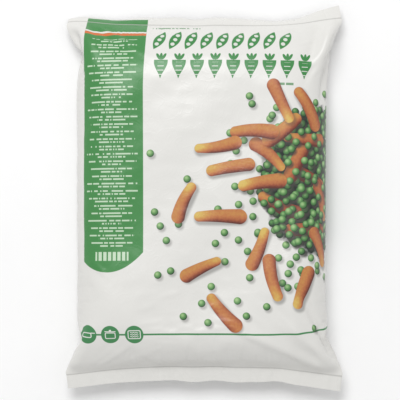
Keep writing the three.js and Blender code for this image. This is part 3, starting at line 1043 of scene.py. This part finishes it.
def pea_group(name, likely):
    """A group that lays one layer of peas, each whole and in its own cell."""

    def pea_at(paint, place, turn, shift, scale, jitter):
        turned = paint.mapping("POINT", place, turn, shift)
        middle, chances = paint.cells(turned, scale, jitter)
        centre = paint.mapping("TEXTURE", middle, turn, shift)
        return centre, chances[0] < likely(paint, centre), chances[1]

    def build(paint, place, *layout):
        cast = paint.vector("SUBTRACT", place, (*SHADOW_SHIFT, 0))
        centre, there, _ = pea_at(paint, cast, *layout)
        from_centre = paint.vector("DISTANCE", cast, centre)
        shade = paint.edge(from_centre, *(PEA_RADIUS + past for past in PEA_SHADOW)) * there
        centre, there, chance = pea_at(paint, place, *layout)
        local = paint.vector("SUBTRACT", place, centre)
        away = paint.vector("LENGTH", local) / PEA_RADIUS
        facing = paint.vector("DOT_PRODUCT", local, (*(PEA_FACING * k / PEA_RADIUS for k in PRINT_LIGHT), 0))
        from_glint = paint.vector("DISTANCE", local, (*(GLINT_PLACE * k for k in PRINT_LIGHT), 0))
        tone = facing + away * away * PEA_ROUND + chance * PEA_CHANCE
        tone = tone + paint.edge(from_glint, *GLINT_EDGE) * GLINT
        cover = within(paint, away, 1, PEA_SOFT) * there
        return cover, tone, shade * (1 - cover)

    return new_group(name, build, PEA_INPUTS, LAYER_OUTPUTS)


def carrot_places():
    """Place, heading, length, half-widths, bend and tone of each carrot, by the rule of a seed head."""
    random = np.random.default_rng(CARROT_SEED)
    start, spread = CARROT_SPREAD
    reach, further, furthest, width = CARROT_REACH
    carrots = []
    for number in range(CARROT_COUNT):
        angle = start + (number * GOLDEN + FIRST_TURN) % 1 * spread
        limit = reach + further * math.exp(-(((angle - furthest) / width) ** 2))
        radius = limit * ((number + FIRST_REACH) / CARROT_COUNT) ** REACH_POWER
        heading, length = random.uniform(0, 2 * math.pi), random.uniform(*CARROT_LENGTH)
        cosine, sine = math.cos(heading), math.sin(heading)
        carrots.append(
            {
                "Start across": HEAP_PLACE[0] + radius * math.cos(angle) - length / 2 * cosine,
                "Start along": HEAP_PLACE[1] + radius * math.sin(angle) - length / 2 * sine,
                "Cosine": cosine,
                "Sine": sine,
                "Facing": CARROT_FACING * (cosine * PRINT_LIGHT[1] - sine * PRINT_LIGHT[0]),
                "Length": length,
                "Thick": random.uniform(*CARROT_THICK),
                "Thin": random.uniform(*CARROT_THIN),
                "Bend": random.uniform(*CARROT_BEND),
                "Ripeness": random.uniform(*CARROT_RIPENESS),
                "reach": radius,
            }
        )
    return carrots


CARROT_SIZES = [name for name in carrot_places()[0] if name != "reach"]
CARROT_INPUTS = dict.fromkeys(["Across", "Along", "Grain", "Cover", "Tone", "Shade", *CARROT_SIZES], "Float")


def carrot_group():
    """A group that lays one carrot over those before it."""

    def from_axis(paint, x, y, cosine, sine, length):
        along_axis = x * cosine + y * sine
        off_axis = y * cosine - x * sine
        reach = paint.clamp(along_axis, 0, length)
        return along_axis, off_axis, reach

    def build(paint, across, along, grain, cover, tone, shade, *sizes):
        x, y, cosine, sine, facing, length, thick, thin, bend, ripe = sizes
        x, y = across - x, along - y
        cast = (x - SHADOW_SHIFT[0], y - SHADOW_SHIFT[1])
        axis, side, reach = from_axis(paint, *cast, cosine, sine, length)
        away = paint.vector("LENGTH", paint.join(axis - reach, side)) - (thick + thin) / 2
        shade = paint.math("MAXIMUM", shade, paint.edge(away, *CARROT_SHADOW))
        axis, side, reach = from_axis(paint, x, y, cosine, sine, length)
        share = reach / length
        side = side - share * (1 - share) * bend
        radius = share * (thin - thick) + thick
        away = paint.vector("LENGTH", paint.join(axis - reach, side)) - radius
        here = within(paint, away, 0, CARROT_SOFT)
        side = side / radius
        own = side * facing + (CARROT_TONE - side * side * CARROT_ROUND) + grain * CARROT_GRAIN
        own = own + paint.edge(share, *RIPE_END) * ripe
        return paint.math("MAXIMUM", cover, here), paint.blend(tone, own, here), shade * (1 - here)

    return new_group("carrot", build, CARROT_INPUTS, LAYER_OUTPUTS)


def vegetables(paint, place, across, along, ground, colours):
    """The artwork: a heap of peas and carrots that runs out to the left and down."""
    grain = paint.noise(place, GRAIN_SCALE, detail=3) - 0.5
    carrot = carrot_group()
    heap_peas, loose_peas = pea_group("heap_peas", heap_share), pea_group("loose_peas", scatter_share)

    def lay_peas(ground, tree, light, shadow, pitch, jitter, turn, shift):
        cover, tone, shade = paint.group(tree, place, (0, 0, turn), (*shift, 0), 1 / pitch, jitter)
        ground = paint.mix(ground, colours.cast_shadow, shade * shadow)
        return paint.mix(ground, paint.ramp(tone + light, colours.pea_stops()), cover)

    def lay_carrots(ground, carrots, light, shadow):
        layer = (0, 0, 0)
        for sizes in carrots:
            own = (sizes[name] for name in CARROT_SIZES)
            layer = paint.group(carrot, across, along, grain, *layer, *own)
        cover, tone, shade = layer
        ground = paint.mix(ground, paint.ramp(tone + light, colours.carrot_stops()), cover)
        return paint.mix(ground, colours.cast_shadow, shade * shadow)

    carrots = carrot_places()
    heap = [sizes for sizes in carrots if sizes["reach"] < HEAP_REACH]
    loose = [sizes for sizes in carrots if sizes["reach"] >= HEAP_REACH]
    for layer in LOOSE_PEAS:
        ground = lay_peas(ground, loose_peas, *layer)
    rim = closeness(paint, place, HEAP_PLACE, HEAP_SIZE)
    rim = rim + (paint.noise(place, RIM_SCALE) - 0.5) * RIM_UNEVEN
    ground = paint.mix(ground, colours.heap_dark, paint.edge(rim, *HEAP_GROUND_EDGE))
    for number, layer in enumerate(HEAP_PEAS):
        ground = lay_peas(ground, heap_peas, *layer)
        if number < len(HEAP_CARROTS):
            ground = lay_carrots(ground, heap[number :: len(HEAP_CARROTS)], *HEAP_CARROTS[number])
    return lay_carrots(ground, loose, *LOOSE_CARROTS)


def printed_film(film, colours):
    """White film with its print, soft gloss, fine wrinkles and painted shade along the welds."""
    material, paint = new_material("printed_film")
    film_map = paint.out(paint.node("ShaderNodeUVMap", {"uv_map": FILM_MAP}))
    place = paint.scaled(film_map, 1 / MM)
    across, along = paint.split(place)
    clouds = paint.noise(place, CLOUD_SCALE, detail=3)
    ground = paint.mix(colours.film, colours.film_thin, clouds * CLOUD_SHARE)
    for draw in (language_panel, pod_row, carrot_row, small_dashes, rule_line, badges, back_list):
        def build(inside, x, y, below, draw=draw):
            return draw(inside, x, y, below, colours)

        inputs = {"Across": "Float", "Along": "Float", "Ground": "Color"}
        group = new_group(draw.__name__, build, inputs, {"Ground": "Color"})
        ground = paint.group(group, across, along, ground)
    ground = vegetables(paint, place, across, along, ground, colours)
    middle, weld = film.length / 2, film.length / 2 - film.seal
    from_middle = abs(along - middle)
    seal = paint.edge(from_middle, weld + STRIP_FROM, weld + STRIP_FULL)
    # Painted shade: a darker line along each weld stands for the shade in its crease; the same mask also
    # sinks a bump groove there.
    weld_groove_and_shade = paint.edge(abs(from_middle - weld), *WELD_GROOVE_EDGE)
    ground = paint.mix(ground, colours.weld_crease_shade, weld_groove_and_shade * WELD_SHADE_SHARE)
    wrinkles = paint.noise(place, **WRINKLES)
    pinches = abs(paint.noise(place, **PINCHES) - 0.5)
    ribs = paint.math("SINE", across * RIB_TURN) * seal
    height = wrinkles * (seal * STRIP_WRINKLE_HEIGHT + WRINKLE_HEIGHT)
    height = height + paint.edge(pinches, *PINCH_EDGE) * PINCH_HEIGHT
    height = height + ribs * RIB_HEIGHT - weld_groove_and_shade * WELD_GROOVE_DEPTH
    bump = paint.node("ShaderNodeBump", (), {**BUMP, "Height": height})
    gloss = ROUGHNESS + (clouds - 0.5) * CLOUD_ROUGHNESS - seal * STRIP_GLOSS
    sockets = {"Base Color": ground, "Roughness": gloss, "Normal": paint.out(bump), "IOR": FILM_IOR}
    paint.surface(sockets)
    return material


# The stage, in metres.
FLOOR_GAP = 0.0002
FLOOR_GRAIN = srgb(246, 246, 246)
GRAIN_PER_METRE = 12
FLOOR_ROUGHNESS = 0.9
LAMP_PLACE = (-0.35, 1.25, 2.4)
CAMERA_AIM = (-0.0044, -0.003)


def colour(name, description, *levels):
    """A colour that a user may change."""
    return FloatVectorProperty(
        name=name, description=description, default=srgb(*levels), min=0, max=1, size=3, subtype="COLOR"
    )


def size(name, description, default):
    """A length that a user may change, in metres."""
    return FloatProperty(
        name=name, description=description, default=default, min=0.001, precision=4, unit="LENGTH"
    )


class BagForm(PropertyGroup):
    lay_flat_width: size("Lay-flat width", "Width of the empty tube pressed flat", 0.290)
    film_length: size("Film length", "From end to end along the film, both seals included", 0.413)
    seal_height: size("Seal height", "Height of the welded strip at each end", 0.015)
    fill_depth: size("Fill depth", "Thickness of the levelled contents", 0.060)
    seal_level: size("Seal level", "Height of the end seals above the table", 0.024)


class PrintColours(PropertyGroup):
    film: colour("Film", "White film of the bag", 224, 223, 219)
    film_thin: colour("Thin film", "Where the white is a little greyer", 216, 215, 211)
    # Painted shade: this colour darkens the film along each weld, in place of the shade of the crease there.
    weld_crease_shade: colour("Folded film", "The line along each weld", 178, 177, 173)
    panel: colour("Panel", "Green panel down the left side", 66, 134, 72)
    panel_ink: colour("Panel ink", "Pale dashes on the panel", 214, 232, 208)
    accent: colour("Accent", "Stripe near the top of the panel", 208, 112, 62)
    headline: colour("Signs", "Rows of pods and carrots over the artwork", 60, 132, 70)
    rule: colour("Rule", "Thin line and badges near the foot", 64, 130, 80)
    pea_edge: colour("Pea edge", "Shaded rim of a pea", 28, 54, 34)
    pea: colour("Pea", "A pea's own green", 84, 136, 76)
    pea_light: colour("Pea light", "The lit side of a pea", 162, 198, 136)
    heap_dark: colour("Heap", "Between the peas of the heap", 20, 38, 30)
    cast_shadow: colour("Shadow", "Soft shadows in the artwork", 66, 64, 60)
    carrot_dark: colour("Carrot edge", "Shaded side of a carrot", 96, 46, 38)
    carrot_deep: colour("Deep carrot", "Between the shaded side and the carrot's own colour", 152, 80, 54)
    carrot: colour("Carrot", "A carrot's own orange", 186, 116, 70)
    carrot_light: colour("Light carrot", "The lit side of a carrot", 200, 148, 78)
    carrot_tip: colour("Carrot tip", "The yellow tips", 212, 182, 98)

    def pea_stops(self):
        return (0, self.pea_edge), (0.5, self.pea), (1, self.pea_light)

    def carrot_stops(self):
        shades = (self.carrot_dark, self.carrot_deep, self.carrot, self.carrot_light, self.carrot_tip)
        return tuple(zip((0, 0.26, 0.52, 0.78, 1), shades))


class StageLook(PropertyGroup):
    floor: colour("Floor", "The pale floor", 250, 250, 250)
    floor_size: size("Floor size", "Length of a side of the floor", 6.0)
    sky: FloatProperty(name="Sky", description="Strength of the even light", default=0.65, min=0)
    lamp_power: FloatProperty(name="Lamp", description="Power of the lamp", default=36, min=0, unit="POWER")
    lamp_size: size("Lamp size", "Length of a side of the soft lamp", 1.2)
    camera_height: size("Camera height", "Height of the camera above the floor", 2.355)
    lens: FloatProperty(name="Lens", description="Focal length", default=200, min=10, unit="CAMERA")


class BAG_OT_film(Operator):
    """Adds the filled bag of printed film"""

    bl_idname = "bag.film"
    bl_label = "Add the bag"
    bl_options = {"REGISTER", "UNDO"}

    def execute(self, context):
        scene = context.scene
        film, skin = relaxed_skin(scene.bag_form, FINE_STEPS)
        mesh = film_mesh(film, skin)
        mesh.materials.append(printed_film(film, scene.bag_print))
        bag = bpy.data.objects.new("printed_bag", mesh)
        scene.collection.objects.link(bag)
        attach(bag, "root")
        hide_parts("bag")
        return {"FINISHED"}


def floor_paint(look):
    """Matte pale board with a hardly visible grain."""
    material, paint = new_material("pale_floor")
    place = paint.out(paint.node("ShaderNodeTexCoord"), "Object")
    grain = paint.noise(place, GRAIN_PER_METRE, detail=3)
    board = paint.mix(look.floor, FLOOR_GRAIN, grain)
    paint.surface({"Base Color": board, "Roughness": FLOOR_ROUGHNESS})
    return material


class BAG_OT_stage(Operator):
    """Adds the floor, the soft light and the camera above the bag"""

    bl_idname = "bag.stage"
    bl_label = "Add the stage"
    bl_options = {"REGISTER", "UNDO"}

    def execute(self, context):
        scene, look = context.scene, context.scene.bag_stage
        half = look.floor_size / 2
        mesh = bpy.data.meshes.new("floor")
        corners = ((-half, -half, 0), (half, -half, 0), (half, half, 0), (-half, half, 0))
        mesh.from_pydata(corners, [], [range(4)])
        mesh.materials.append(floor_paint(look))
        floor = bpy.data.objects.new("floor", mesh)
        floor.location.z = -FLOOR_GAP
        scene.collection.objects.link(floor)
        floor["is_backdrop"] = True
        world = bpy.data.worlds.new("even_light")
        world.use_nodes = True
        sky = world.node_tree.nodes["Background"]
        sky.inputs["Color"].default_value = (1, 1, 1, 1)
        sky.inputs["Strength"].default_value = look.sky
        scene.world = world
        lamp = bpy.data.lights.new("soft_lamp", "AREA")
        lamp.energy = look.lamp_power
        lamp.size = look.lamp_size
        lit = bpy.data.objects.new("soft_lamp", lamp)
        lit.location = LAMP_PLACE
        lit.rotation_euler = (-Vector(LAMP_PLACE)).to_track_quat("-Z", "Y").to_euler()
        scene.collection.objects.link(lit)
        lens = bpy.data.cameras.new("camera")
        lens.lens = look.lens
        camera = bpy.data.objects.new("camera", lens)
        camera.location = (*CAMERA_AIM, look.camera_height)
        scene.collection.objects.link(camera)
        scene.camera = camera
        scene.view_settings.view_transform = "Standard"
        return {"FINISHED"}


class BAG_PT_tools(Panel):
    """Lists what the bag is made of"""

    bl_idname = "BAG_PT_tools"
    bl_label = "Frozen vegetable bag"
    bl_space_type = "VIEW_3D"
    bl_region_type = "UI"
    bl_category = "Bag"

    def draw(self, context):
        layout, scene = self.layout, context.scene
        for operator in OPERATORS:
            layout.operator(operator.bl_idname)
        for group in (scene.bag_form, scene.bag_print, scene.bag_stage):
            column = layout.column(align=True)
            for name in group.__annotations__:
                column.prop(group, name)


GROUPS = {"bag_form": BagForm, "bag_print": PrintColours, "bag_stage": StageLook}
OPERATORS = (BAG_OT_film, BAG_OT_stage)
CLASSES = (*GROUPS.values(), *OPERATORS, BAG_PT_tools)


def register():
    for cls in CLASSES:
        bpy.utils.register_class(cls)
    for name, group in GROUPS.items():
        setattr(bpy.types.Scene, name, PointerProperty(type=group))


def unregister():
    for name in GROUPS:
        delattr(bpy.types.Scene, name)
    for cls in reversed(CLASSES):
        bpy.utils.unregister_class(cls)


def main():
    register()
    bpy.ops.bag.film()
    bpy.ops.bag.stage()
    boxes = {"cad": CAD_BOX, "visual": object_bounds()}
    boxes = {name: [[float(c) for c in corner] for corner in box] for name, box in boxes.items()}


if __name__ == "__main__":
    main()
